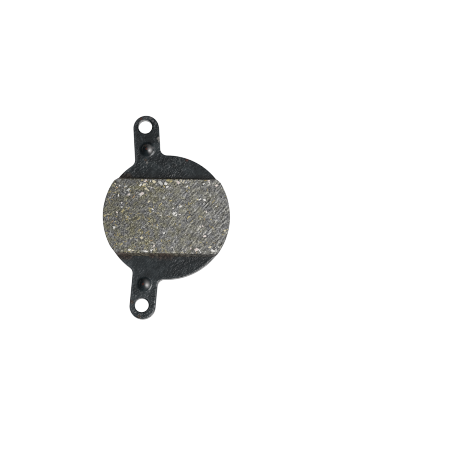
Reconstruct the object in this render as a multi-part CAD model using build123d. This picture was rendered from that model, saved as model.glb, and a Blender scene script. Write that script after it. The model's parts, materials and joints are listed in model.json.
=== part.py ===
from build123d import *

import math
import os

# Bicycle disc brake pad: a blanked steel backing plate and the friction lining pressed onto it.
# Millimetres. The pad lies on its back: Z = 0 is the plate's back, +Z points to the brake disc.
# The origin is the centre of the plate's round middle, and +Y runs to the upper ear.

# Backing plate, a round middle with two ears
plate_thickness = 2.0
middle_diameter = 29.0
rolled_edge_radius = 0.35  # the edge that the die draws in, on the lining's side
back_edge_chamfer = 0.12  # the tumbled edge on the back

# Ears, one the mirror image of the other about the XZ plane
ear_width = 6.0
ear_end_x = -5.17  # centre of the ear's round end
ear_end_y = 20.8
ear_lean = 4.2  # degrees by which the ear leans away from the pad's wide side
inner_neck_radius = 1.65  # hollow between ear and middle, on the pad's wide side
outer_neck_radius = 1.7  # the same on its narrow side

# Hole for the retaining pin in each ear; the pair sits off the ears' end centres, towards the upper ear
pin_hole_diameter = 3.2
upper_hole_outwards = 0.39  # from the upper ear's end centre, along the ear's axis
lower_hole_inwards = 0.22  # from the lower ear's end centre
pin_hole_across = 0.2  # towards the pad's narrow side
pin_hole_chamfer = 0.25

# Button pressed up out of each ear by a punch from the back
button_setback = 5.05  # from the ear's end centre, along the ear's axis
button_foot_diameter = 3.8  # where its hollow foot runs out into the plate's face
button_height = 0.86
button_crown_radius = 1.67
punch_diameter = 2.4
punch_depth = 0.9
punch_nose_chamfer = 0.3
punch_rim_chamfer = 0.15

# Friction lining, with two straight ends and two round sides
lining_thickness = 2.0
lining_length = 17.19  # from end to end, on the friction face
lining_set_down = 0.07  # how far its middle sits towards the lower ear
lining_overhang = 0.2  # how far the lining's foot stands proud of the plate's rim
lining_side_draft = 1.0  # degrees
lining_end_draft = 16.0  # degrees
lining_corner_radius = 1.7
lining_edge_chamfer = 0.12

middle_radius = middle_diameter / 2
lean = math.radians(ear_lean)


def on_ear(inwards, across=0.0):
    """Point on the upper ear, measured from its end centre along its axis and towards -X."""
    x = ear_end_x + inwards * math.sin(lean) - across * math.cos(lean)
    y = ear_end_y - inwards * math.cos(lean) - across * math.sin(lean)
    return Location((x, y, 0))


def with_mirror(shape):
    """The shape on the upper ear together with the same one on the lower ear."""
    return shape + mirror(shape, Plane.XZ)


def ear_outline():
    """A round-ended strip that starts inside the plate's middle."""
    strip_length = ear_end_y / math.cos(lean)
    strip = SlotCenterToCenter(strip_length, ear_width, rotation=90 + ear_lean)
    return on_ear(strip_length / 2) * strip


def round_corners(outline, points, radius):
    corners = [outline.vertices().sort_by_distance(point)[0] for point in points]
    return fillet(corners, radius)


def plate_outline():
    """The round middle and both ears, with a hollow neck on each side of each ear."""
    outline = Circle(middle_radius) + with_mirror(ear_outline())
    meeting_points = [
        corner.center()
        for corner in outline.vertices()
        if math.isclose(corner.center().length, middle_radius, abs_tol=1e-4)
    ]
    upper = sorted((p for p in meeting_points if p.Y > ear_width / 2), key=lambda p: p.X)
    lower = sorted((p for p in meeting_points if p.Y < -ear_width / 2), key=lambda p: p.X)
    outline = round_corners(outline, (upper[0], lower[0]), outer_neck_radius)
    return round_corners(outline, (upper[-1], lower[-1]), inner_neck_radius)


def top_face(solid):
    return solid.faces().sort_by(Axis.Z)[-1]


def blanked_plate():
    """The flat blank with its pin holes, rolled over on top and tumbled on the back."""
    hole = Circle(pin_hole_diameter / 2)
    upper_hole = on_ear(-upper_hole_outwards, pin_hole_across) * hole
    lower_hole = mirror(on_ear(lower_hole_inwards, pin_hole_across) * hole, Plane.XZ)
    plate = extrude(plate_outline() - upper_hole - lower_hole, plate_thickness)
    plate = fillet(top_face(plate).outer_wire().edges(), rolled_edge_radius)
    hole_rims = [wire.edge() for wire in top_face(plate).inner_wires()]
    plate = chamfer(hole_rims, pin_hole_chamfer)
    back = plate.faces().sort_by(Axis.Z)[0]
    return chamfer(back.edges(), back_edge_chamfer)


def button():
    """A domed button whose crown runs smoothly into its hollow foot, rooted inside the plate."""
    foot_x = button_foot_diameter / 2
    root = plate_thickness / 2
    crown_top = plate_thickness + button_height
    slope = math.degrees(2 * math.atan(button_height / foot_x))
    foot_radius = (foot_x**2 + button_height**2) / (2 * button_height) - button_crown_radius
    profile = [
        Polyline((0, crown_top), (0, root), (foot_x, root), (foot_x, plate_thickness)),
        CenterArc((foot_x, plate_thickness + foot_radius), foot_radius, 270, -slope),
        CenterArc((0, crown_top - button_crown_radius), button_crown_radius, 90 - slope, slope),
    ]
    return revolve(Plane.XZ * make_face(Curve() + profile), Axis.Z)


def punch():
    """The punch's nose and lead-in, which leave a round recess behind the button."""
    radius = punch_diameter / 2
    corners = [
        (0, 0),
        (radius + punch_rim_chamfer, 0),
        (radius, punch_rim_chamfer),
        (radius, punch_depth - punch_nose_chamfer),
        (radius - punch_nose_chamfer, punch_depth),
        (0, punch_depth),
    ]
    return revolve(Plane.XZ * make_face(Polyline(corners, close=True)), Axis.Z)


def backing_plate():
    place = on_ear(button_setback)
    return blanked_plate() + with_mirror(place * button()) - with_mirror(place * punch())


def friction_lining():
    """A cone cut off between two sloped end planes, standing on the plate's flat face."""
    side_slope = math.tan(math.radians(lining_side_draft))
    end_slope = math.tan(math.radians(lining_end_draft))
    foot_radius = middle_radius + lining_overhang
    face_radius = foot_radius - lining_thickness * side_slope
    standing = (Align.CENTER, Align.CENTER, Align.MIN)
    cone = Cone(foot_radius, face_radius, lining_thickness, align=standing)
    face_end = lining_length / 2
    foot_end = face_end + lining_thickness * end_slope
    section = Polyline(
        (-foot_end, 0),
        (foot_end, 0),
        (face_end, lining_thickness),
        (-face_end, lining_thickness),
        close=True,
    )
    slab = extrude(Plane.YZ * make_face(section), foot_radius, both=True)
    block = cone & (Pos(0, -lining_set_down, 0) * slab)
    corner_edges = [edge for edge in block.edges() if edge.bounding_box().size.Z > lining_thickness / 2]
    block = fillet(corner_edges, lining_corner_radius)
    block = chamfer(top_face(block).edges(), lining_edge_chamfer)
    return Location((0, 0, plate_thickness)) * block


pieces = {"backing_plate": backing_plate(), "friction_lining": friction_lining()}

os.makedirs("parts", exist_ok=True)
for name, solid in pieces.items():
    export_step(solid, f"parts/{name}.step")
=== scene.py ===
import json
import math
from functools import partial
from types import SimpleNamespace

import bpy
import numpy as np
from mathutils import Matrix, Vector


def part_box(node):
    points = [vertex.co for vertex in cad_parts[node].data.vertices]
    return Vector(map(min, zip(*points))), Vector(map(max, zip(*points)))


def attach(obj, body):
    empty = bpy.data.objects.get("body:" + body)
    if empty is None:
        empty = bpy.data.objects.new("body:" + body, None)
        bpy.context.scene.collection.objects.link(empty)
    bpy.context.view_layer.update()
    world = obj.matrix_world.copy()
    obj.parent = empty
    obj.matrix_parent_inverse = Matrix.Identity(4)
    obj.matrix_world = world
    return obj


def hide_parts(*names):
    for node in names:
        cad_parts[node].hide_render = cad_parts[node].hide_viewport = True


# Bicycle disc brake pad: a coated steel plate with its friction lining
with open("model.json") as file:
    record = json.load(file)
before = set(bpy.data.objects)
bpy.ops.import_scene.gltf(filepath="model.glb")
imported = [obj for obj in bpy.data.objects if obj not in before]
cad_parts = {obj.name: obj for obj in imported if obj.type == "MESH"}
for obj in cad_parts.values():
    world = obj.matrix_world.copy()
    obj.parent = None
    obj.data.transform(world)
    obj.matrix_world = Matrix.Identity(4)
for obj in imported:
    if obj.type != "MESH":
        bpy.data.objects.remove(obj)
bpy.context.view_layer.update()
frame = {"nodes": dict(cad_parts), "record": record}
mm = 0.001
print("frame loaded:", sorted(frame["nodes"]))


# Helpers for colours, node trees and soft steps

def linear(code):
    # sRGB hex to the linear colour that the shaders take
    parts = [int(code[i:i + 2], 16) / 255 for i in (1, 3, 5)]
    return tuple(p / 12.92 if p <= 0.04045 else ((p + 0.055) / 1.055) ** 2.4 for p in parts) + (1.0,)


def perMm(sizeMm):
    # texture scale, per metre, of a pattern with features of this size
    return 1 / (sizeMm * mm)


def socketOf(sockets, key=None):
    # a socket by its number, or the first one in use, of this name where one is given
    if isinstance(key, int):
        return sockets[key]
    return next(socket for socket in sockets if socket.enabled and key in (None, socket.name))


def addNode(tree, kind, links=None, values=None, stops=None, span=(), **settings):
    # stops are a ramp's places and colours, span the ends of a range and of what it is mapped to;
    # in links, a node stands for its first output in use
    node = tree.nodes.new("ShaderNode" + kind)
    for name, setting in settings.items():
        setattr(node, name, setting)
    spanValues = dict(zip(("From Min", "From Max", "To Min", "To Max"), span))
    for key, value in {**(values or {}), **spanValues}.items():
        socketOf(node.inputs, key).default_value = value
    for key, source in (links or {}).items():
        if isinstance(source, bpy.types.Node):
            source = socketOf(source.outputs)
        tree.links.new(source, socketOf(node.inputs, key))
    if stops:
        ramp = node.color_ramp
        while len(ramp.elements) < len(stops):
            ramp.elements.new(1.0)
        for element, (position, colour) in zip(ramp.elements, stops):
            element.position = position
            element.color = linear(colour)
    return node


def newMaterial(name):
    # an empty material and the function that adds nodes to it
    material = bpy.data.materials.new(name)
    material.use_nodes = True
    material.node_tree.nodes.clear()
    return material, partial(addNode, material.node_tree)


def smooth(low, high, value):
    t = np.clip((value - low) / (high - low), 0, 1)
    return t * t * (3 - 2 * t)


def between(low, high, share):
    return low + (high - low) * share


# Camera as fitted to the photo's outline, in millimetres, degrees and pixels

camera = {
    "distance": 400.0,
    "tilt": 7.0,
    "roll": 0.85,
    "pixelsPerMm": 4.297,
    "padFromCentre": (-14.705, 2.82),
    "pictureSide": 460,
    "sensor": 36.0,
    "clip": (10.0, 10000.0),
}

tilt = math.radians(camera["tilt"])
roll = math.radians(camera["roll"])
viewRight = Vector((math.cos(roll), math.sin(roll), 0))
pictureUp = Vector((-math.sin(roll), math.cos(roll), 0))
viewUp = pictureUp * math.cos(tilt) + Vector((0, 0, math.sin(tilt)))
viewBack = Vector((0, 0, math.cos(tilt))) - pictureUp * math.sin(tilt)
aimAt = viewRight * -camera["padFromCentre"][0] + pictureUp * -camera["padFromCentre"][1]
cameraPlace = aimAt + viewBack * camera["distance"]


def seenAt(mark, height):
    # point of the pad, at this height, that the camera sees at the mark's pixel of the photo
    half = camera["pictureSide"] / 2
    focal = camera["pixelsPerMm"] * camera["distance"]
    ray = viewRight * ((mark["px"] - half) / focal) + viewUp * ((half - mark["py"]) / focal) - viewBack
    reach = (height - cameraPlace.z) / ray.z
    point = cameraPlace + ray * reach
    return point.x, point.y


def spotShare(add, position, spot, height, fade, most=1.0, noise=None, ragged=0.0):
    # share that runs from 0 to most round a spot, seen at its pixel and this height; fade gives the two
    # distances in radii of the spot, and noise makes its edge ragged by so many radii
    point = Vector((*seenAt(spot, height), height)) * mm
    away = add("VectorMath", {0: position}, {1: point}, operation="DISTANCE")
    if noise is not None:
        raggedBy = spot["radius"] * ragged * mm
        away = add("Math", {0: noise, 2: away}, {1: raggedBy}, operation="MULTIPLY_ADD")
    zeroAt, fullAt = (spot["radius"] * share * mm for share in fade)
    span = (zeroAt, fullAt, 0.0, most)
    return add("MapRange", {"Value": away}, span=span, interpolation_type="SMOOTHSTEP")


# Friction lining: a fine grid that keeps the solid's form and carries its grain, in mm and degrees

lining = {
    "node": "friction_lining",
    "sideDraft": 1.0,
    "endDraft": 16.0,
    "cornerRadius": 1.7,
    "edgeChamfer": 0.12,
    "cornerChip": 0.24,  # broken off the lower left corner
    "cornerChipY": (-6.3, -8.0),  # from where it starts to where it is whole
    "gridStep": 0.085,
    "borderLines": (0.0, 0.03, 0.07, 0.12),  # closer grid lines along the rim
    "borderWidth": 0.18,
    "wallRows": 14,
    "seed": 4021,
    "noiseStep": 0.05,
    "faceNoise": (480, 720),  # rows and columns of noise
    "wallNoise": (240, 2400),
}

liningLow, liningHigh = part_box(lining["node"])
footZ = liningLow.z / mm
faceZ = liningHigh.z / mm
footRadius = liningHigh.x / mm
footEnds = (-liningLow.y / mm, liningHigh.y / mm)  # lower and upper end
sideSlope = math.tan(math.radians(lining["sideDraft"]))
endSlope = math.tan(math.radians(lining["endDraft"]))
rimZ = faceZ - lining["edgeChamfer"]
rimRadius = footRadius - (rimZ - footZ) * sideSlope
rimEnds = tuple(end - (rimZ - footZ) * endSlope for end in footEnds)


def halfWidth(y, radius, ends):
    # half width of the lining at y, with its rounded corners
    corner = lining["cornerRadius"]
    centreY = np.where(y < 0, ends[0], ends[1]) - corner
    centreX = np.sqrt((radius - corner) ** 2 - centreY ** 2)
    tangentY = centreY * radius / (radius - corner)
    y = np.abs(y)
    side = np.sqrt(radius ** 2 - np.minimum(y, tangentY) ** 2)
    rounded = centreX + np.sqrt(np.maximum(corner ** 2 - (y - centreY) ** 2, 0))
    return np.where(y > tangentY, rounded, side)


def gridLine(low, high):
    # places from low to high, closer together at both ends
    border = np.array(lining["borderLines"])
    inset = lining["borderWidth"]
    count = int(round((high - low - 2 * inset) / lining["gridStep"]))
    inner = np.linspace(low + inset, high - inset, count + 1)
    return np.concatenate([low + border, inner, high - border[::-1]])


rowY = gridLine(-rimEnds[0], rimEnds[1])
colX = gridLine(-rimRadius, rimRadius)
colShare = colX / rimRadius  # -1 at the left side, 1 at the right side
rowEdge = halfWidth(rowY, rimRadius, rimEnds)
rowChip = lining["cornerChip"] * smooth(*lining["cornerChipY"], rowY)
faceY = np.repeat(rowY[:, None], len(colX), 1)
faceX = np.where(colShare < 0, (rowEdge - rowChip)[:, None], rowEdge[:, None]) * colShare
toEnd = np.minimum(rimEnds[0] + faceY, rimEnds[1] - faceY)
toSide = np.minimum(rimRadius - np.hypot(faceX, faceY), rowEdge[:, None] - np.abs(faceX))
toSide = toSide - np.where(faceX < 0, rowChip[:, None], 0)
toRim = np.maximum(np.minimum(toEnd, toSide), 0)
noiseStep = lining["noiseStep"]


def shapedNoise(shape, seedStep, wavelength, spread, stretch=1.0, angle=0.0):
    # random grain of one wavelength in mm, drawn out along one direction where stretch is above 1
    white = np.random.default_rng(lining["seed"] + seedStep).standard_normal(shape)
    fy = np.fft.fftfreq(shape[0], noiseStep)[:, None]
    fx = np.fft.fftfreq(shape[1], noiseStep)[None, :]
    along = fx * math.cos(angle) + fy * math.sin(angle)
    across = fy * math.cos(angle) - fx * math.sin(angle)
    radius = np.hypot(along * stretch, across) * wavelength + 1e-9  # never 0, for the logarithm
    ring = np.exp(-0.5 * (np.log(radius) / spread) ** 2)
    field = np.fft.ifft2(np.fft.fft2(white) * ring).real
    return field / field.std()


def sampled(field, across, up):
    # the grain's value at points given in millimetres
    rows, cols = field.shape
    col = across / noiseStep % cols
    row = up / noiseStep % rows
    c0 = np.floor(col).astype(int)
    r0 = np.floor(row).astype(int)
    fc = col - c0
    fr = row - r0
    c0 = c0 % cols
    r0 = r0 % rows
    c1 = (c0 + 1) % cols
    r1 = (r0 + 1) % rows
    low = field[r0, c0] * (1 - fc) + field[r0, c1] * fc
    high = field[r1, c0] * (1 - fc) + field[r1, c1] * fc
    return low * (1 - fr) + high * fr


def faceNoise(**layer):
    # grain over the ground face, from a field of noise with the pad in its middle
    rows, cols = lining["faceNoise"]
    field = shapedNoise((rows, cols), **layer)
    return sampled(field, faceX + cols * noiseStep / 2, faceY + rows * noiseStep / 2)


# Ground face: fine speckle everywhere, grinding lines that grow towards the wide side.
# Tones run from 0, dark resin, to 1, the palest crumbs; sizes, places and depths are in mm

grindAngle = math.radians(48)
ground = {
    "tone": 0.522,
    "speckleTone": 0.172,
    "speckleStrength": (1.08, 0.8),  # on the narrow and on the wide side
    "lineTone": 0.12,
    "lineStrength": (0.25, 1.0),
    "wideSideX": (-6.0, 11.0),  # from where to where one side passes into the other
    "cloudTone": 0.01,
    "narrowDark": (0.06, 0.13),  # how much darker the narrow side is, below and above
    "narrowDarkX": (3.0, -11.0),
    "narrowDarkY": (-6.0, -1.0),
    "paleLine": 0.14,  # along the lower edge
    "paleLineWidth": (0.32, 0.08),
    "paleLineX": (-4.0, 0.0),
    "depth": 0.03,
    "speckleDepth": 0.011,
    "lineDepth": 0.008,
    "speckle": [  # layers of noise and the share of each
        (0.74, dict(seedStep=1, wavelength=0.4, spread=0.3)),
        (0.44, dict(seedStep=2, wavelength=0.85, spread=0.4)),
        (0.36, dict(seedStep=6, wavelength=0.6, spread=0.3, stretch=2.6, angle=grindAngle + 0.1)),
    ],
    "cloud": dict(seedStep=3, wavelength=3.2, spread=0.5),
    "lines": dict(seedStep=4, wavelength=0.62, spread=0.22, stretch=7.0, angle=grindAngle),
}

speckle = sum(share * faceNoise(**layer) for share, layer in ground["speckle"])
cloud = faceNoise(**ground["cloud"])
lines = faceNoise(**ground["lines"])
wideSide = smooth(*ground["wideSideX"], faceX)
lines = lines * between(*ground["lineStrength"], wideSide)
speckleStrength = between(*ground["speckleStrength"], wideSide)
narrowDark = between(*ground["narrowDark"], smooth(*ground["narrowDarkY"], faceY))
narrowDark = narrowDark * smooth(*ground["narrowDarkX"], faceX)
paleLine = smooth(*ground["paleLineWidth"], rimEnds[0] + faceY)
paleLine = paleLine * smooth(*ground["paleLineX"], faceX)

grain = ground["tone"] + ground["speckleTone"] * speckle * speckleStrength
grain = grain + ground["lineTone"] * lines + ground["cloudTone"] * cloud
grain = grain + ground["paleLine"] * paleLine - narrowDark
depth = ground["depth"] - ground["speckleDepth"] * speckle - ground["lineDepth"] * lines
mineral = np.zeros_like(faceX)
brass = np.zeros_like(faceX)
tone = np.full_like(faceX, 0.5)  # picks the colour of a mineral chip or a brass sliver


# Grains in the face. Edges and ends are given as the shares of a grain's size between which it fades out

scatter = {
    "swing": 1.3,  # radians by which grains stray from the grinding direction
    "rimMargin": 0.1,  # mm without scattered grains
    "stripReach": 0.75,  # of the patch of grid that a strip changes, in its lengths
}
rng = np.random.default_rng(lining["seed"])


def windowAt(x, y, reach, angle):
    # part of the grid round a point, with lines to spare, and its places along and across the grain there
    rows = slice(max(np.searchsorted(rowY, y - reach) - 1, 0), np.searchsorted(rowY, y + reach) + 1)
    scale = rimRadius / float(halfWidth(np.clip(y, -rimEnds[0], rimEnds[1]), rimRadius, rimEnds))
    cols = slice(max(np.searchsorted(colX, (x - reach) * scale) - 3, 0),
                 np.searchsorted(colX, (x + reach) * scale) + 3)
    dx = faceX[rows, cols] - x
    dy = faceY[rows, cols] - y
    along = dx * math.cos(angle) + dy * math.sin(angle)
    across = dy * math.cos(angle) - dx * math.sin(angle)
    return (rows, cols), along, across


def stripAt(x, y, length, angle, bend):
    # the same for a bent strip
    window, along, across = windowAt(x, y, length * scatter["stripReach"], angle)
    return window, along, across - bend * (along * along) / length


def anyPlace(leftBias=0.0):
    while True:
        x = rng.uniform(-rimRadius, rimRadius)
        y = rng.uniform(-rimEnds[0], rimEnds[1])
        inside = math.hypot(x, y) < rimRadius - scatter["rimMargin"]
        if inside and rng.uniform() < 1 - leftBias * (x + rimRadius) / (2 * rimRadius):
            return x, y


pits = {
    "count": 140,
    "size": (0.06, 0.13),
    "aspect": (1.5, 3.5),
    "deep": (0.02, 0.06),
    "darker": 0.28,
    "edge": (1.2, 0.6),
    "reach": 1.6,  # of the patch of grid that is changed, in sizes
}


def addPit(x, y, size, aspect, angle, deep):
    # a pore where a grain was torn out, darkened as painted shade
    window, along, across = windowAt(x, y, size * aspect * pits["reach"], angle)
    inside = smooth(*pits["edge"], np.hypot(along / aspect, across) / size)
    # painted shade inside the pore
    grain[window] -= pits["darker"] * inside
    depth[window] += deep * inside


for k in range(pits["count"]):
    x, y = anyPlace()
    addPit(x, y, rng.uniform(*pits["size"]), rng.uniform(*pits["aspect"]), rng.uniform(0, math.pi),
           rng.uniform(*pits["deep"]))

fibres = {
    "count": 650,
    "length": (0.35, 1.1),
    "width": (0.09, 0.16),
    "bend": (-0.5, 0.5),
    "lifts": (0.3, 0.22, -0.22),  # how much lighter or darker than the resin
    "proud": 0.012,
    "edge": (1.3, 0.7),
    "end": (1.1, 0.8),
}


def addFibre(x, y, length, width, angle, bend, lift):
    # a short mineral or steel fibre that shows lighter or darker than the resin
    window, along, across = stripAt(x, y, length, angle, bend)
    inside = smooth(*fibres["edge"], np.abs(2 * across) / width)
    inside = inside * smooth(*fibres["end"], np.abs(2 * along / length))
    grain[window] += lift * inside
    depth[window] -= fibres["proud"] * inside * np.sign(lift)


for k in range(fibres["count"]):
    x, y = anyPlace()
    addFibre(x, y, rng.uniform(*fibres["length"]), rng.uniform(*fibres["width"]), rng.uniform(0, math.pi),
             rng.uniform(*fibres["bend"]), rng.choice(fibres["lifts"]))

slivers = {
    "count": 108,
    "leftBias": 0.7,  # there are more of them on the narrow side
    "length": (0.35, 0.95),
    "width": (0.14, 0.27),
    "bend": (-0.9, 0.9),
    "depth": 0.008,
    "tip": 0.02,  # what is left of the width at a tip, squared
    "edge": (1.2, 0.8),
    "end": (1.05, 0.95),
    "tones": {"copper": 0.0, "gilt": 0.35, "dull": 0.55, "bright": 0.8},
}


def addSliver(x, y, length, width, angle, bend, toneValue):
    # a brass turning: a thin bent strip, tapered towards its ends
    window, along, across = stripAt(x, y, length, angle, bend)
    half = width / 2 * np.sqrt(np.maximum(1 - (2 * along / length) ** 2, slivers["tip"]))
    inside = smooth(*slivers["edge"], np.abs(across) / half)
    inside = inside * smooth(*slivers["end"], np.abs(2 * along / length))
    brass[window] = np.maximum(brass[window], inside)
    mineral[window] *= 1 - inside
    tone[window] = between(tone[window], toneValue, inside)
    depth[window] = between(depth[window], slivers["depth"], inside)


for k in range(slivers["count"]):
    x, y = anyPlace(slivers["leftBias"])
    addSliver(x, y, rng.uniform(*slivers["length"]), rng.uniform(*slivers["width"]),
              rng.normal(grindAngle, scatter["swing"]), rng.uniform(*slivers["bend"]), rng.uniform(0, 1))

chips = {
    "count": 52,
    "leftBias": 0.4,
    "size": (0.08, 0.2),
    "aspect": (1.0, 1.8),
    "corners": 5,
    "cornerSwing": 0.35,  # of the step from one side to the next
    "sides": (0.6, 1.1),  # distance of the sides from the middle, in sizes
    "ragged": 0.16,
    "edge": (1.12, 0.88),
    "gap": (1.55, 1.2),
    "gapShade": 0.28,
    "gapDepth": 0.03,
    "depth": 0.006,
    "reach": 1.8,
    "tones": {"dusty": 0.15, "cream": 0.3, "grey": 0.45, "white": 0.65, "pink": 0.88},
}


def addChip(x, y, size, aspect, angle, toneValue):
    # an angular grain of crushed mineral, chipped along its rim, with a thin sunk gap round it that is
    # darkened as painted shade
    window, along, across = windowAt(x, y, size * aspect * chips["reach"], angle)
    outward = np.full_like(along, -np.inf)
    for k in range(chips["corners"]):
        swing = rng.uniform(-chips["cornerSwing"], chips["cornerSwing"])
        way = 2 * math.pi * (k + swing) / chips["corners"]
        side = size * rng.uniform(*chips["sides"])
        outward = np.maximum(outward, (along / aspect * math.cos(way) + across * math.sin(way)) / side)
    outward = outward + chips["ragged"] * speckle[window]
    inside = smooth(*chips["edge"], outward)
    gap = smooth(*chips["gap"], outward) * (1 - inside)
    mineral[window] = np.maximum(mineral[window], inside)
    brass[window] *= 1 - inside
    tone[window] = between(tone[window], toneValue, inside)
    # painted shade in the gap round the grain
    grain[window] -= chips["gapShade"] * gap
    depth[window] = between(depth[window], chips["depth"], inside) + chips["gapDepth"] * gap


for k in range(chips["count"]):
    x, y = anyPlace(chips["leftBias"])
    addChip(x, y, rng.uniform(*chips["size"]), rng.uniform(*chips["aspect"]),
            rng.normal(grindAngle, scatter["swing"]), rng.uniform(0, 1))

# The grains that stand out in the photo, placed by pixel, with sizes in mm and angles in radians.
# Chips are white where no tone is given

markedChips = [
    dict(px=196.4, py=249.4, size=0.4, aspect=1.2, angle=0.5, tone="pink"),
    dict(px=199.6, py=250.8, size=0.17, aspect=3.0, angle=-1.0),
    dict(px=129.4, py=249.8, size=0.2, aspect=1.7, angle=0.1),
    dict(px=132.6, py=250.2, size=0.2, aspect=1.5, angle=0.0, tone="cream"),
    dict(px=145.8, py=251.2, size=0.26, aspect=1.8, angle=0.1),
    dict(px=151.2, py=250.4, size=0.25, aspect=1.3, angle=1.2),
    dict(px=154.2, py=249.9, size=0.14, aspect=1.4, angle=1.0, tone="cream"),
    dict(px=212.5, py=250.6, size=0.28, aspect=1.8, angle=-0.3),
    dict(px=216, py=251, size=0.22, aspect=1.5, angle=0.2, tone="grey"),
    dict(px=210, py=247.2, size=0.24, aspect=1.5, angle=0.2, tone="cream"),
    dict(px=141.5, py=238, size=0.36, aspect=1.2, angle=0.9, tone="cream"),
    dict(px=163.8, py=232.9, size=0.24, aspect=1.3, angle=0.6),
    dict(px=199.6, py=199.5, size=0.26, aspect=1.4, angle=0.6),
    dict(px=204.3, py=199.9, size=0.28, aspect=1.5, angle=-0.9),
    dict(px=174.2, py=213.6, size=0.26, aspect=1.3, angle=0.9),
    dict(px=176, py=215.2, size=0.26, aspect=1.3, angle=0.4),
    dict(px=204.3, py=236.2, size=0.3, aspect=1.2, angle=0.4, tone="pink"),
    dict(px=180.6, py=206.4, size=0.24, aspect=1.2, angle=0.5),
    dict(px=141.5, py=194, size=0.42, aspect=1.5, angle=0.7, tone="pink"),
    dict(px=139.6, py=194.2, size=0.24, aspect=1.3, angle=0.4, tone="grey"),
    dict(px=153.7, py=181.5, size=0.32, aspect=1.7, angle=-0.6, tone="cream"),
    dict(px=160.8, py=183.2, size=0.4, aspect=1.7, angle=-0.8, tone="grey"),
    dict(px=165.8, py=183.6, size=0.28, aspect=1.7, angle=0.0),
    dict(px=167.2, py=186.8, size=0.22, aspect=1.8, angle=0.9),
    dict(px=178.2, py=182.6, size=0.3, aspect=1.6, angle=-0.9, tone="pink"),
    dict(px=181.2, py=181.2, size=0.11, aspect=4.0, angle=1.0, tone="cream"),
    dict(px=183.6, py=181.8, size=0.12, aspect=4.0, angle=0.95, tone="cream"),
    dict(px=188, py=180.4, size=0.11, aspect=3.5, angle=0.9, tone="cream"),
    dict(px=186, py=182.4, size=0.1, aspect=3.5, angle=1.0),
    dict(px=186.8, py=186.4, size=0.22, aspect=2.0, angle=0.8),
    dict(px=203.6, py=183.6, size=0.18, aspect=2.2, angle=0.9),
    dict(px=208.8, py=180.6, size=0.24, aspect=1.6, angle=0.1, tone="pink"),
    dict(px=145.4, py=180.6, size=0.26, aspect=1.8, angle=0.7, tone="pink"),
    dict(px=144.2, py=184.7, size=0.28, aspect=1.6, angle=0.5, tone="cream"),
    dict(px=140.3, py=185, size=0.26, aspect=1.4, angle=0.9),
    dict(px=146, py=188.6, size=0.26, aspect=1.5, angle=0.5, tone="cream"),
    dict(px=128.3, py=189.6, size=0.32, aspect=1.5, angle=0.5, tone="grey"),
    dict(px=125.8, py=186.6, size=0.24, aspect=1.4, angle=0.3, tone="grey"),
    dict(px=128.8, py=194.7, size=0.22, aspect=1.3, angle=0.3, tone="pink"),
    dict(px=118.4, py=195.2, size=0.17, aspect=1.8, angle=1.3),
    dict(px=163.6, py=197.6, size=0.3, aspect=1.4, angle=0.6, tone="grey"),
    dict(px=148.5, py=201.5, size=0.26, aspect=1.6, angle=0.7, tone="cream"),
    dict(px=152.6, py=209, size=0.22, aspect=1.2, angle=0.3),
    dict(px=121.5, py=207, size=0.22, aspect=1.5, angle=0.0, tone="grey"),
    dict(px=114.2, py=227.3, size=0.26, aspect=1.6, angle=0.1),
    dict(px=154, py=246, size=0.2, aspect=2.5, angle=0.7, tone="pink"),
    dict(px=161, py=215.2, size=0.2, aspect=1.2, angle=0.5),
    dict(px=216.7, py=185.5, size=0.28, aspect=1.4, angle=0.3, tone="pink"),
    dict(px=224.4, py=230.5, size=0.26, aspect=1.4, angle=0.5, tone="cream"),
    dict(px=210.5, py=195.6, size=0.2, aspect=1.3, angle=0.8, tone="grey"),
    dict(px=216.2, py=206.2, size=0.16, aspect=1.3, angle=0.8),
]
for mark in markedChips:
    toneValue = chips["tones"][mark.get("tone", "white")]
    addChip(*seenAt(mark, faceZ), mark["size"], mark["aspect"], mark["angle"], toneValue)

markedSlivers = [
    dict(px=188.5, py=216.8, length=1.2, width=0.28, angle=0.7, bend=-1.0, tone="bright"),
    dict(px=133.6, py=196.8, length=1.0, width=0.36, angle=0.9, bend=0.2, tone="copper"),
    dict(px=122.8, py=210.7, length=1.1, width=0.28, angle=0.8, bend=0.3, tone="bright"),
    dict(px=109.8, py=192, length=0.8, width=0.3, angle=0.6, bend=0.5, tone="gilt"),
    dict(px=127.7, py=216.7, length=0.6, width=0.3, angle=2.4, bend=0.3, tone="bright"),
    dict(px=121.2, py=244.2, length=1.0, width=0.3, angle=0.8, bend=0.2, tone="bright"),
    dict(px=116.8, py=187.6, length=0.7, width=0.34, angle=0.5, bend=0.2, tone="copper"),
    dict(px=142.5, py=186.8, length=1.2, width=0.26, angle=0.2, bend=0.3, tone="gilt"),
    dict(px=147.5, py=232.2, length=1.3, width=0.26, angle=0.7, bend=0.2, tone="gilt"),
    dict(px=151, py=240.5, length=0.7, width=0.32, angle=0.3, bend=0.3, tone="copper"),
    dict(px=112.2, py=221.6, length=0.9, width=0.26, angle=0.7, bend=0.3, tone="copper"),
    dict(px=150.3, py=211.2, length=0.9, width=0.3, angle=2.2, bend=0.3, tone="dull"),
    dict(px=160.5, py=204.5, length=1.1, width=0.26, angle=0.8, bend=0.3, tone="bright"),
    dict(px=213.4, py=201.5, length=1.2, width=0.24, angle=0.9, bend=0.1, tone="gilt"),
    dict(px=168.5, py=179.9, length=1.2, width=0.34, angle=0.3, bend=0.2, tone="bright"),
    dict(px=164.2, py=186.4, length=0.8, width=0.28, angle=2.3, bend=0.2, tone="bright"),
    dict(px=171, py=181.4, length=0.7, width=0.3, angle=0.5, bend=0.2, tone="bright"),
    dict(px=142.3, py=180, length=0.6, width=0.28, angle=0.2, bend=0.2, tone="bright"),
    dict(px=205.8, py=180.3, length=0.8, width=0.3, angle=0.2, bend=0.1, tone="gilt"),
]
for mark in markedSlivers:
    addSliver(*seenAt(mark, faceZ), mark["length"], mark["width"], mark["angle"], mark["bend"],
              slivers["tones"][mark["tone"]])

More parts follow.
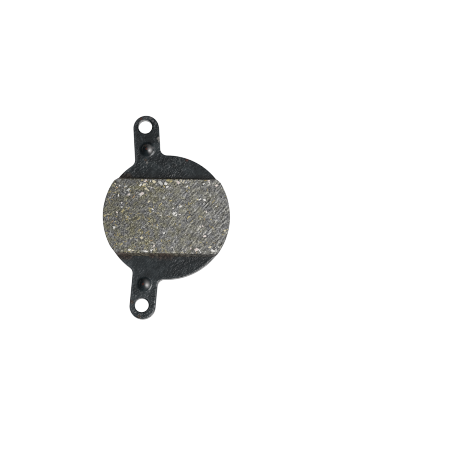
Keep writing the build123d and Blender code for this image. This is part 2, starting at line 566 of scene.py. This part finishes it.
# Scores and straight fibres, which are lighter or darker than the resin
markedFibres = [
    dict(px=206.1, py=205.2, length=1.3, width=0.18, angle=0.8, lift=0.4),
    dict(px=207.5, py=206.3, length=1.3, width=0.22, angle=0.8, lift=-0.42),
    dict(px=203.4, py=206.4, length=0.8, width=0.22, angle=0.9, lift=-0.4),
    dict(px=209.6, py=233.1, length=1.3, width=0.2, angle=0.7, lift=0.45),
    dict(px=216.8, py=246.4, length=1.3, width=0.2, angle=0.7, lift=0.42),
    dict(px=220.8, py=244.6, length=0.9, width=0.26, angle=0.8, lift=-0.45),
    dict(px=218.3, py=247.8, length=0.8, width=0.3, angle=0.3, lift=-0.45),
    dict(px=214.4, py=247.5, length=1.2, width=0.18, angle=0.75, lift=-0.35),
    dict(px=116.9, py=195, length=0.9, width=0.32, angle=1.2, lift=-0.45),
    dict(px=190.5, py=214.8, length=0.9, width=0.24, angle=2.4, lift=-0.4),
    dict(px=186.6, py=219.8, length=1.0, width=0.2, angle=1.4, lift=-0.35),
    dict(px=214.2, py=207.8, length=1.1, width=0.5, angle=0.75, lift=0.25),
    dict(px=115, py=190.8, length=0.9, width=0.45, angle=1.3, lift=-0.25),
]
for mark in markedFibres:
    addFibre(*seenAt(mark, faceZ), mark["length"], mark["width"], mark["angle"], 0.0, mark["lift"])

# The rim is crumbled: the chamfer's width wanders along it

rim = {
    "wander": 0.8,  # of the chamfer's width
    "wanderNoise": dict(seedStep=5, wavelength=0.9, spread=0.4),
    "widths": (0.02, 0.32),
    "slope": 0.9,
    "edgeDrop": 0.03,  # the least that the outermost line lies below the face
    "deepestGrain": 0.12,
    "groundFrom": (0.02, 0.1),  # distances from the edge between which the ground face starts
}
wander = faceNoise(**rim["wanderNoise"])
crumble = np.clip(lining["edgeChamfer"] * (1 + rim["wander"] * wander), *rim["widths"])
depth = np.clip(depth, 0.0, rim["deepestGrain"]) + rim["slope"] * np.maximum(crumble - toRim, 0)
depth = np.where(toRim < 1e-6, np.maximum(depth, rim["edgeDrop"]), depth)  # where the distance is 0
faceHeight = faceZ - depth
grain = np.clip(grain, 0, 1)
print("lining grain drawn on", faceX.size, "points")

# Side walls: from the crumbled rim straight down to the foot, with a torn skin

wall = {
    "torn": 0.1,  # the deepest tears
    "tornNoise": dict(seedStep=9, wavelength=1.5, spread=0.5),
    "tornFrom": (-1.5, 2.0),  # the noise's range that they take in
    "noiseLift": 1.0,  # how far the walls are lifted in the noise
    "tornStretch": 1.1,  # brings the tears back to nothing just above the foot
    "tone": 0.69,
    # painted shade: the wall darkens towards its foot, where it meets the plate
    "footShade": 0.22,
    "mottle": 0.12,
    "mottleNoise": dict(seedStep=10, wavelength=1.3, spread=0.6),
    "cornerDarker": 0.2,  # at the lower right
    "cornerX": (4.0, 8.0),
    "cornerY": (-6.0, -8.0),
}
lastRow = len(rowY) - 1
lastCol = len(colX) - 1
loop = [(0, c) for c in range(lastCol)]
loop += [(r, lastCol) for r in range(lastRow)]
loop += [(lastRow, c) for c in range(lastCol, 0, -1)]
loop += [(r, 0) for r in range(lastRow, 0, -1)]
loopRow, loopCol = np.array(loop).T
rimX = faceX[loopRow, loopCol]
rimY = faceY[loopRow, loopCol]
rimHeight = faceHeight[loopRow, loopCol]
footY = np.where(rimY < 0, rimY * footEnds[0] / rimEnds[0], rimY * footEnds[1] / rimEnds[1])
footWidth = halfWidth(footY, footRadius, footEnds) - np.where(rimX < 0, rowChip[loopRow], 0)
footX = colShare[loopCol] * footWidth
outX = np.roll(rimY, -1) - np.roll(rimY, 1)
outY = np.roll(rimX, 1) - np.roll(rimX, -1)
outLength = np.hypot(outX, outY)
alongRim = np.concatenate([[0], np.cumsum(np.hypot(np.diff(rimX), np.diff(rimY)))])
cornerDark = wall["cornerDarker"] * smooth(*wall["cornerX"], rimX) * smooth(*wall["cornerY"], rimY)
tornNoise = shapedNoise(lining["wallNoise"], **wall["tornNoise"])
mottleNoise = shapedNoise(lining["wallNoise"], **wall["mottleNoise"])

points = [np.stack([faceX, faceY, faceHeight], -1).reshape(-1, 3)]
grains = [grain.ravel()]
for k in range(1, lining["wallRows"] + 1):
    down = k / lining["wallRows"]
    wallZ = between(rimHeight, footZ, down)
    noiseUp = wallZ + wall["noiseLift"]
    tears = smooth(*wall["tornFrom"], sampled(tornNoise, alongRim, noiseUp))
    inwards = wall["torn"] * tears * math.sin(math.pi * min(down * wall["tornStretch"], 1)) / outLength
    footShare = np.clip((rimZ - wallZ) / (rimZ - footZ), 0, 1)
    wallX = between(rimX, footX, footShare) - outX * inwards
    wallY = between(rimY, footY, footShare) - outY * inwards
    points.append(np.stack([wallX, wallY, wallZ], -1))
    # the wall's tone, with painted shade towards the foot
    wallTone = wall["tone"] - wall["footShade"] * down - cornerDark
    wallTone = wallTone + wall["mottle"] * sampled(mottleNoise, alongRim, noiseUp)
    grains.append(np.clip(wallTone, 0, 1))
allPoints = np.concatenate(points) * mm

gridCount = faceX.size
loopCount = len(loop)
index = np.arange(gridCount).reshape(faceX.shape)
quads = np.stack([index[:-1, :-1], index[:-1, 1:], index[1:, 1:], index[1:, :-1]], -1).reshape(-1, 4)
rings = [index[loopRow, loopCol]]
rings += [gridCount + k * loopCount + np.arange(loopCount) for k in range(lining["wallRows"])]
walls = [np.stack([upper, lower, np.roll(lower, -1), np.roll(upper, -1)], -1)
         for upper, lower in zip(rings[:-1], rings[1:])]
faces = [tuple(quad) for quad in np.concatenate([quads] + walls).tolist()]
faces.append(tuple(reversed(rings[-1].tolist())))

liningMesh = bpy.data.meshes.new("friction_lining_ground")
liningMesh.from_pydata(allPoints.tolist(), [], faces)
onWalls = np.zeros(len(allPoints) - gridCount)
groundShare = smooth(*rim["groundFrom"], toRim)
attributes = {"grain": np.concatenate(grains)}
for name, onFace in {"mineral": mineral, "brass": brass, "tone": tone, "ground": groundShare}.items():
    attributes[name] = np.concatenate([onFace.ravel(), onWalls])
for name, values in attributes.items():
    layer = liningMesh.attributes.new(name, "FLOAT", "POINT")
    layer.data.foreach_set("value", values.astype(np.float32))
liningMesh.polygons.foreach_set("use_smooth", [True] * len(liningMesh.polygons))
liningMesh.update()
liningPiece = bpy.data.objects.new("friction_lining_ground", liningMesh)
bpy.context.scene.collection.objects.link(liningPiece)
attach(liningPiece, "root")
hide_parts(lining["node"])
print("lining mesh:", len(allPoints), "points,", len(faces), "faces")


# Brown resin that the press squeezed out of the lining's ends, by pixel of the photo, with its radius in mm
resinPlaces = [
    dict(px=121, py=256, radius=2.6),
    dict(px=165, py=256.5, radius=2.0),
    dict(px=125, py=176.5, radius=1.6),
    dict(px=152, py=254, radius=1.0),
]

# Pressed and ground semi-metallic friction compound: grey and dull, speckled, with pale mineral grains
# and yellow brass turnings that glint; its sheared sides are darker and brown

compound = {
    "crumbs": {"Scale": perMm(0.16), "Detail": 2.0, "Roughness": 0.6},  # resin and filler
    "crumbTone": 0.35,
    "patches": {"Scale": perMm(1.8), "Detail": 3.0, "Roughness": 0.7},
    "patchTint": (0.4, 0.66),
    "ochreFade": (-4 * mm, 12 * mm, 1.0, 0.4),  # the tint fades from the narrow side to the wide one
    "grainEdge": (0.3, 0.7),
    "wallCrumbs": {"Scale": perMm(0.5), "Detail": 4.0, "Roughness": 0.8},
    "wallCrumbTone": 2.4,
    "wallBrown": (2 * mm, 8 * mm, 1.0, 0.3),  # the walls are greyer on the wide side
    "stainAbove": 0.6,  # mm over the plate's face
    "stainFade": (1.7, 1.1),
    "stainRagged": 1.2,
    "stainShare": 0.8,
    "resin": [(0.0, "#262625"), (0.3, "#565657"), (0.5, "#717171"), (0.72, "#929291"), (1.0, "#cccbc8")],
    "ochre": [(0.0, "#28261f"), (0.3, "#585544"), (0.5, "#75725b"), (0.72, "#989477"), (1.0, "#cec8aa")],
    "skin": [(0.0, "#15140f"), (0.35, "#3b3830"), (0.6, "#5a554a"), (0.8, "#6c6558"), (1.0, "#958c7c")],
    "stain": [(0.0, "#15100e"), (0.35, "#2f2520"), (0.7, "#463832"), (1.0, "#75655a")],
    "mineral": {
        "dusty": "#8f8f8c", "cream": "#ddd3b5", "grey": "#bfbfba", "white": "#e6e4df", "pink": "#ded1ca"},
    "brass": [(0.0, "#9f886c"), (0.35, "#9a8e64"), (0.8, "#c6b987"), (1.0, "#8b8468")],
    "brassMetal": 0.3,  # the turnings are smeared with resin
    "roughness": (0.0, 1.0, 0.75, 0.42),  # from resin and mineral to brass
    "bump": {"Strength": 0.5, "Distance": 0.02 * mm},
}


def crumbled(add, grainIn, crumbs, strength):
    # the grain's tone with crumbs that lighten and darken it
    raised = add("Math", {0: crumbs, 2: grainIn}, {1: strength}, operation="MULTIPLY_ADD")
    return add("Math", {0: raised}, {1: strength / 2}, operation="SUBTRACT")


def groundColour(add, fineGrain, tint, acrossPad, mineralEdge, brassEdge, toneIn):
    # grey resin with ochre patches, mineral grains and brass turnings
    mineralStops = [(chips["tones"][name], colour) for name, colour in compound["mineral"].items()]
    resin = add("ValToRGB", {"Fac": fineGrain}, stops=compound["resin"])
    ochre = add("ValToRGB", {"Fac": fineGrain}, stops=compound["ochre"])
    mineralColour = add("ValToRGB", {"Fac": toneIn}, stops=mineralStops)
    brassColour = add("ValToRGB", {"Fac": toneIn}, stops=compound["brass"])
    tintFade = add("MapRange", {"Value": acrossPad}, span=compound["ochreFade"])
    tintShare = add("MapRange", {"Value": tint, "To Max": tintFade}, span=compound["patchTint"])
    colour = resin
    for share, over in ((tintShare, ochre), (mineralEdge, mineralColour), (brassEdge, brassColour)):
        colour = add("Mix", {"Factor": share, "A": colour, "B": over}, data_type="RGBA")
    return colour


def wallColour(add, position, grainIn, tint, acrossPad):
    # torn skin, brown on the narrow side, with stains of resin
    crumbs = add("TexNoise", {"Vector": position}, compound["wallCrumbs"])
    skinGrain = crumbled(add, grainIn, crumbs, compound["wallCrumbTone"])
    skin = add("ValToRGB", {"Fac": skinGrain}, stops=compound["skin"])
    stain = add("ValToRGB", {"Fac": skinGrain}, stops=compound["stain"])
    brown = add("MapRange", {"Value": acrossPad}, span=compound["wallBrown"])
    colour = add("HueSaturation", {"Saturation": brown, "Color": skin})
    stainZ = footZ + compound["stainAbove"]
    for place in resinPlaces:
        share = spotShare(add, position, place, stainZ, compound["stainFade"],
                          most=compound["stainShare"], noise=tint, ragged=compound["stainRagged"])
        colour = add("Mix", {"Factor": share, "A": colour, "B": stain}, data_type="RGBA")
    return colour


def frictionCompound():
    material, add = newMaterial("Friction compound, pressed and ground")
    grainIn, mineralIn, brassIn, toneIn, groundIn = (
        add("Attribute", attribute_name=name).outputs["Fac"] for name in attributes)
    position = add("TexCoord").outputs["Object"]
    acrossPad = add("SeparateXYZ", {0: position}).outputs["X"]
    fine = add("TexNoise", {"Vector": position}, compound["crumbs"])
    tint = add("TexNoise", {"Vector": position}, compound["patches"])
    mineralEdge, brassEdge = (
        add("MapRange", {"Value": share}, span=compound["grainEdge"], interpolation_type="SMOOTHSTEP")
        for share in (mineralIn, brassIn))
    fineGrain = crumbled(add, grainIn, fine, compound["crumbTone"])
    face = groundColour(add, fineGrain, tint, acrossPad, mineralEdge, brassEdge, toneIn)
    sides = wallColour(add, position, grainIn, tint, acrossPad)
    colour = add("Mix", {"Factor": groundIn, "A": sides, "B": face}, data_type="RGBA")
    metal = add("Math", {0: brassEdge}, {1: compound["brassMetal"]}, operation="MULTIPLY")
    rough = add("MapRange", {"Value": brassEdge}, span=compound["roughness"])
    relief = add("Bump", {"Height": fine}, compound["bump"])
    looks = {"Base Color": colour, "Metallic": metal, "Roughness": rough, "Normal": relief}
    surface = add("BsdfPrincipled", looks)
    add("OutputMaterial", {"Surface": surface})
    return material


liningMesh.materials.append(frictionCompound())
print("friction compound made")


# Charcoal coat on blasted steel: nearly black and satin, its fine grit glints, rubbed grey on a few edges,
# with rust and brown resin in spots. Painted light in it: a paler rolled edge as a painted reflection,
# specks and pale places that are partly painted glints and sheen, and bare steel on each button's lit flank
# as a painted highlight

def above(height):
    # z in metres of a height in mm over the plate's face
    return (footZ + height) * mm


plate = {
    "node": "backing_plate",
    # the grit of the blasting and the specks are drawn coarser than the real 0.1 mm, so that they show
    "blast": {"Scale": perMm(0.42), "Detail": 2.0, "Roughness": 0.6},
    "specks": {"Scale": perMm(0.3), "Detail": 1.0, "Roughness": 0.6},
    "patches": {"Scale": perMm(1.8), "Detail": 5.0, "Roughness": 0.7},
    "gritRun": {"Rotation": (0, 0, math.radians(45)), "Scale": (1.45, 1.0, 1.0)},  # drawn out this way
    "gritHeight": 0.08 * mm,
    "gritFlat": (0.9, 0.99, 0.35),  # it is weaker where the surface leans
    "offButton": (above(0.004), above(0.05), 1.0, 0.06),  # and on the buttons
    "faceTop": above(0.02),  # what lies higher belongs to a button
    "coat": [(0.3, "#0b1013"), (0.5, "#161c1f"), (0.68, "#272e31"), (0.9, "#3b4144"), (1.0, "#4c5154")],
    "placeFade": (1.4, 0.4),
    "speckAndGlint": "#66686a",
    "speckInPatch": 0.45,  # how much the specks gather in the coat's pale patches
    "speckGlintShare": (0.84, 0.97, 0.0, 0.8),
    "reflectionReach": 1.0 * mm,  # reach from the rolled edge of the pale painted reflection on the coat
    "reflectionBend": (1.0, 0.95),
    "reflectionLean": (0.1, 0.5),
    "reflectionGrit": (0.4, 0.62, 0.34, 0.9),  # paleness of the painted reflection on the narrow side, between the grit and on it
    "reflectionSide": (-6.6 * mm, -7.4 * mm, 0.1),  # where that side starts, and the wide side's painted reflection
    "holeMargin": (0.35, 0.55),  # mm round the pin holes where no reflection is painted
    "spots": {"rust": "#472a24", "brown": "#3b322b", "steel": "#6f6d6a", "scuff": "#505052"},
    "spotFade": (1.9, 1.4),
    "spotRagged": 1.6,
    "flash": [(0.35, "#110d0b"), (0.5, "#28211d"), (0.68, "#52443c")],
    "flashFade": (0.7, 1.3),
    "flashShare": (1.0, 0.0, 0.1, 0.9),  # away from the resin's places and in them
    "flashEnd": (0.35, -0.5),  # mm past the lining's end: where the flash starts and where it is whole
    "flashRagged": 1.6 * mm,
    "edgeLean": [(0.0, "#000000"), (0.25, "#ffffff"), (0.8, "#ffffff"), (0.97, "#000000")],
    "edgeRubbed": (0.55, 0.75, 0.0, 0.25),
    "steelWallWay": (0.4, -0.917, 0.0),  # bare steel shows on the walls that face this way
    "steelWallLean": (0.45, 0.8),
    "steelWallShare": (0.4, 0.6, 0.3, 0.8),
    "steelWallAbove": (above(-1.5), above(-0.4)),
    "steelWallBelow": (above(-0.015), above(-0.15)),
    "litFlankWay": (0.96, 0.28, 0.0),  # each button's bare steel lies on the flank that faces this way, towards the key light: partly wear, partly a painted highlight
    "litFlankLean": (-0.2, 0.5),
    "crownShare": (above(0.06), above(0.6), 0.0, 0.5),
    "edgeSheen": (above(-0.04), above(-0.002), 0.2, 0.75),
    "crownSheen": (above(0.005), above(0.085), 0.0, 0.3),
    "roughness": (above(0.015), above(0.06), 0.33, 0.24),  # of the plate's face and of the buttons
    "bareSteel": {"Base Color": linear("#b3b1b0"), "Metallic": 1.0, "Roughness": 0.59},
}

# The coat isn't even: places by pixel of the photo, radius in mm, change of its grit and of its paleness;
# the paleness is partly the coat's own and partly painted sheen
coatPlaces = [
    dict(px=146, py=266, radius=5.5, grit=-0.45, paleAndSheen=0.12),
    dict(px=146.5, py=137, radius=2.2, grit=-0.5, paleAndSheen=-0.03),
    dict(px=200, py=172, radius=4.0, grit=-0.5, paleAndSheen=0.09),
    dict(px=147, py=163.5, radius=2.3, grit=0.35, paleAndSheen=0.14),
    dict(px=147.2, py=148.8, radius=2.2, grit=-0.9, paleAndSheen=0.0),
    dict(px=176, py=166, radius=4.0, grit=0.35, paleAndSheen=0.05),
    dict(px=143, py=312, radius=3.2, grit=0.3, paleAndSheen=0.15),
    dict(px=145, py=294, radius=2.2, grit=0.1, paleAndSheen=0.16),
    dict(px=133, py=300, radius=1.5, grit=0.1, paleAndSheen=0.2),
    dict(px=145.6, py=117.2, radius=1.5, grit=0.2, paleAndSheen=0.3),
    dict(px=153, py=171.8, radius=1.3, grit=-0.8, paleAndSheen=-0.05),
    dict(px=156.4, py=147, radius=1.0, grit=0.3, paleAndSheen=0.26),
]

# Spots by pixel of the photo, radius in mm: rust where the coat is thin, steel where it is knocked off.
# Those on the buttons lie so many mm above the plate's face; the pale one at the upper button's foot is a
# painted highlight
spots = [
    dict(px=141, py=118.6, radius=0.38, colour="rust"),
    dict(px=131.8, py=302, radius=0.5, colour="brown"),
    dict(px=139, py=316.8, radius=0.5, colour="brown"),
    dict(px=146.7, py=148.9, radius=0.3, colour="rust", above=0.78),
    dict(px=143.2, py=284.2, radius=0.34, colour="rust", above=0.78),
    dict(px=158.3, py=138.2, radius=0.42, colour="steel"),
    dict(px=158.8, py=140.6, radius=0.26, colour="steel"),
    dict(px=145.6, py=160, radius=0.34, colour="brown"),
    dict(px=147, py=162.6, radius=0.3, colour="steel"),
    dict(px=150.5, py=118, radius=0.45, colour="scuff"),
    dict(px=187, py=160, radius=0.4, colour="rust"),
    dict(px=146.2, py=117.6, radius=0.34, colour="scuff"),
    dict(px=153.2, py=120.8, radius=0.36, colour="scuff"),
    dict(px=155.6, py=123.6, radius=0.3, colour="scuff"),
    dict(px=145, py=145.6, radius=0.4, colour="brown", above=0.5),
    # painted highlight: a pale spot at the foot of the upper button, on the side that faces the key light
    dict(px=153.2, py=147.6, radius=0.4, colour="scuff", above=0.08),
]


def readPlate(add):
    # what the finish goes by: place and lean of the surface, grit of the blasting, patches of the coat
    position = add("TexCoord").outputs["Object"]
    normal = add("NewGeometry").outputs["Normal"]
    x, y, z = add("SeparateXYZ", {0: position}).outputs
    drawnOut = add("Mapping", {"Vector": position}, plate["gritRun"], vector_type="TEXTURE")
    return SimpleNamespace(
        position=position, normal=normal, x=x, y=y, z=z,
        lean=add("SeparateXYZ", {0: normal}).outputs["Z"],
        blast=add("TexNoise", {"Vector": drawnOut}, plate["blast"]),
        specks=add("TexNoise", {"Vector": drawnOut}, plate["specks"]),
        mottle=add("TexNoise", {"Vector": position}, plate["patches"]),
        offButton=add("MapRange", {"Value": z}, span=plate["offButton"]),
        onPlate=add("Math", {0: z}, {1: plate["faceTop"]}, operation="LESS_THAN"))


def paintedEdgeReflection(add, read):
    # painted reflection: the coat is painted paler along the rolled edge, most of all on the narrow side,
    # away from the key light
    rounded = add("Bevel", values={"Radius": plate["reflectionReach"]}, samples=8)
    bending = add("VectorMath", {0: rounded}, {1: (0.0, 0.0, 1.0)}, operation="DOT_PRODUCT")
    grit = add("MapRange", {"Value": read.specks}, span=plate["reflectionGrit"])
    side = add("MapRange", {"Value": read.x, "To Max": grit}, span=plate["reflectionSide"])
    edge = add("MapRange", {"Value": bending, "To Max": side}, span=plate["reflectionBend"])
    edgeReflection = add("MapRange", {"Value": read.lean, "To Max": edge}, span=plate["reflectionLean"])
    for mount in frame["record"]["mounts"]:
        if mount["kind"] == "bore":
            axis = (*mount["pos_m"][:2], above(0))
            away = add("VectorMath", {0: read.position}, {1: axis}, operation="DISTANCE")
            margin = [(mount["dims"]["r_mm"] + width) * mm for width in plate["holeMargin"]]
            edgeReflection = add("MapRange", {"Value": away, "To Max": edgeReflection}, span=margin)
    return edgeReflection


def coatColour(add, read):
    # the coat's colour with its pale specks, partly real specks and partly painted glints, and how much its
    # grit stands out
    edgeReflection = paintedEdgeReflection(add, read)
    # the coat's own pale patches, with the painted reflection on the rolled edge
    palenessAndPaintedLight = add("Math", {0: edgeReflection, 1: read.onPlate, 2: read.mottle}, operation="MULTIPLY_ADD")
    lively = read.offButton
    for place in coatPlaces:
        near = spotShare(add, read.position, place, footZ, plate["placeFade"])
        change = add("Math", {0: near}, {1: place["grit"], 2: 1.0}, operation="MULTIPLY_ADD")
        lively = add("Math", {0: lively, 1: change}, operation="MULTIPLY")
        # paleness of the place: partly the coat's own, partly painted sheen
        palenessAndPaintedLight = add("Math", {0: near, 2: palenessAndPaintedLight}, {1: place["paleAndSheen"]}, operation="MULTIPLY_ADD")
    flat = add("MapRange", {"Value": read.lean}, span=plate["gritFlat"])
    lively = add("Math", {0: lively, 1: flat}, operation="MULTIPLY")
    bedLinks = {0: read.mottle, 2: read.specks}
    speckBed = add("Math", bedLinks, {1: plate["speckInPatch"]}, operation="MULTIPLY_ADD")
    speckGlintShare = add("MapRange", {"Value": speckBed}, span=plate["speckGlintShare"])
    # pale specks where the grit is lively: partly real specks, partly painted glints
    specksAndGlints = add("Math", {0: speckGlintShare, 1: lively}, operation="MULTIPLY")
    coat = add("ValToRGB", {"Fac": palenessAndPaintedLight}, stops=plate["coat"])
    coatLinks = {"Factor": specksAndGlints, "A": coat}
    return add("Mix", coatLinks, {"B": linear(plate["speckAndGlint"])}, data_type="RGBA"), lively


def withSpots(add, read, colour):
    for spot in spots:
        height = footZ + spot.get("above", 0.0)
        share = spotShare(add, read.position, spot, height, plate["spotFade"],
                          noise=read.blast, ragged=plate["spotRagged"])
        spotColour = linear(plate["spots"][spot["colour"]])
        colour = add("Mix", {"Factor": share, "A": colour}, {"B": spotColour}, data_type="RGBA")
    return colour


def withResinFlash(add, read, colour):
    # brown flash where the lining's ends meet the plate, heavy in the resin's places
    fromMiddle = add("Math", {0: read.y}, operation="ABSOLUTE")
    raggedLinks = {0: read.mottle, 2: fromMiddle}
    ragged = add("Math", raggedLinks, {1: -plate["flashRagged"]}, operation="MULTIPLY_ADD")
    clear = read.offButton
    for place in resinPlaces:
        away = spotShare(add, read.position, place, footZ, plate["flashFade"])
        clear = add("Math", {0: clear, 1: away}, operation="MULTIPLY")
    heavy = add("MapRange", {"Value": clear}, span=plate["flashShare"])
    flashEnd = [(footEnds[0] + past) * mm for past in plate["flashEnd"]]
    share = add("MapRange", {"Value": ragged, "To Max": heavy}, span=flashEnd)
    resin = add("ValToRGB", {"Fac": read.blast}, stops=plate["flash"])
    return add("Mix", {"Factor": share, "A": colour, "B": resin}, data_type="RGBA")


def steelShare(add, read):
    # bare steel shows on rubbed edges, on the walls that face the lower right and, partly as a painted
    # highlight, on the flank of each button that faces the key light
    steelWallWay, litFlankWay = (
        add("VectorMath", {0: read.normal}, {1: plate[way]}, operation="DOT_PRODUCT")
        for way in ("steelWallWay", "litFlankWay"))
    edges = add("ValToRGB", {"Fac": read.lean}, stops=plate["edgeLean"])
    rubbed = add("MapRange", {"Value": read.mottle}, span=plate["edgeRubbed"])
    steelWall = add("MapRange", {"Value": read.mottle}, span=plate["steelWallShare"])
    for height in ("steelWallAbove", "steelWallBelow"):
        steelWall = add("MapRange", {"Value": read.z, "To Max": steelWall}, span=plate[height])
    rubbedWay = {"Value": steelWallWay, "To Max": steelWall}
    steelWall = add("MapRange", rubbedWay, span=plate["steelWallLean"], interpolation_type="SMOOTHSTEP")
    plateWear = add("Math", {0: edges, 1: rubbed, 2: steelWall}, operation="MULTIPLY_ADD")
    crown, litFlank = (
        add("MapRange", {"Value": value}, span=span, interpolation_type="SMOOTHSTEP")
        for value, span in ((read.z, plate["crownShare"]), (litFlankWay, plate["litFlankLean"])))
    # painted highlight: bare steel on the button's upper part, on the flank that faces the key light
    crownWearAndHighlight = add("Math", {0: crown, 1: litFlank}, operation="MULTIPLY")
    return add("Math", {0: plateWear, 1: read.onPlate, 2: crownWearAndHighlight}, operation="MULTIPLY_ADD")


def charcoalCoat():
    material, add = newMaterial("Charcoal coat on blasted steel")
    read = readPlate(add)
    speckled, lively = coatColour(add, read)
    colour = withResinFlash(add, read, withSpots(add, read, speckled))
    relief = add("Bump", {"Height": read.blast, "Strength": lively}, {"Distance": plate["gritHeight"]})
    edgeSheen = add("MapRange", {"Value": read.z}, span=plate["edgeSheen"])
    sheen = add("MapRange", {"Value": read.z, "To Min": edgeSheen}, span=plate["crownSheen"])
    rough = add("MapRange", {"Value": read.z}, span=plate["roughness"])
    looks = {"Base Color": colour, "Roughness": rough, "Specular IOR Level": sheen, "Normal": relief}
    coated = add("BsdfPrincipled", looks)
    bareSteel = add("BsdfPrincipled", {"Normal": relief}, plate["bareSteel"])
    surface = add("MixShader", {0: steelShare(add, read), 1: coated, 2: bareSteel})
    add("OutputMaterial", {"Surface": surface})
    return material


platePiece = frame["nodes"][plate["node"]]
platePiece.data.materials.clear()
platePiece.data.materials.append(charcoalCoat())
print("charcoal coat made")


# Stage: a white light table, a soft key from the lower right, a weak overhead and an even dim room, in mm

stage = {
    "floorHalf": 900.0,
    "floorDrop": 0.02,
    "table": {
        "Base Color": linear("#000000"), "Roughness": 1.0, "Specular IOR Level": 0.0,
        "Emission Color": linear("#ffffff"), "Emission Strength": 1.02},
    "lamps": {
        "key": {"place": (335.0, -156.0, 473.0), "size": 360.0, "power": 4.1},
        "overhead": {"place": (120.0, 60.0, 800.0), "size": 700.0, "power": 0.15},
    },
    "room": {"Color": linear("#3c3c3c"), "Strength": 1.0},
}

scene = bpy.context.scene
floorHalf = stage["floorHalf"] * mm
floorZ = -stage["floorDrop"] * mm
floorCorners = [(x * floorHalf, y * floorHalf, floorZ) for x, y in ((-1, -1), (1, -1), (1, 1), (-1, 1))]
floorMesh = bpy.data.meshes.new("light_table")
floorMesh.from_pydata(floorCorners, [], [(0, 1, 2, 3)])
floorPiece = bpy.data.objects.new("light_table", floorMesh)
scene.collection.objects.link(floorPiece)

# Opal acrylic over lamps: it glows an even white and takes no shadow
lightTable, add = newMaterial("Opal light table")
glow = add("BsdfPrincipled", values=stage["table"])
add("OutputMaterial", {"Surface": glow})
floorMesh.materials.append(lightTable)

for name, lamp in stage["lamps"].items():
    lampData = bpy.data.lights.new(name, "AREA")
    lampData.shape = "DISK"
    lampData.size = lamp["size"] * mm
    lampData.energy = lamp["power"]
    lampPiece = bpy.data.objects.new(name, lampData)
    lampPiece.location = Vector(lamp["place"]) * mm
    lampPiece.rotation_euler = lampPiece.location.to_track_quat("Z", "Y").to_euler()
    scene.collection.objects.link(lampPiece)

world = bpy.data.worlds.new("room")
world.use_nodes = True
world.node_tree.nodes.clear()
addRoom = partial(addNode, world.node_tree)
room = addRoom("Background", values=stage["room"])
addRoom("OutputWorld", {"Surface": room})
scene.world = world
scene.view_settings.view_transform = "Standard"
scene.cycles.filter_width = 1.0
scene.cycles.use_denoising = False  # keeps the grit and the grain

cameraData = bpy.data.cameras.new("camera")
cameraData.sensor_width = camera["sensor"]
cameraData.lens = camera["sensor"] * camera["pixelsPerMm"] * camera["distance"] / camera["pictureSide"]
cameraData.clip_start, cameraData.clip_end = (clip * mm for clip in camera["clip"])
cameraPiece = bpy.data.objects.new("camera", cameraData)
turn = Matrix((viewRight, viewUp, viewBack)).transposed().to_4x4()
cameraPiece.matrix_world = Matrix.Translation(cameraPlace * mm) @ turn
scene.collection.objects.link(cameraPiece)
bpy.context.scene.camera = cameraPiece
print("stage set")
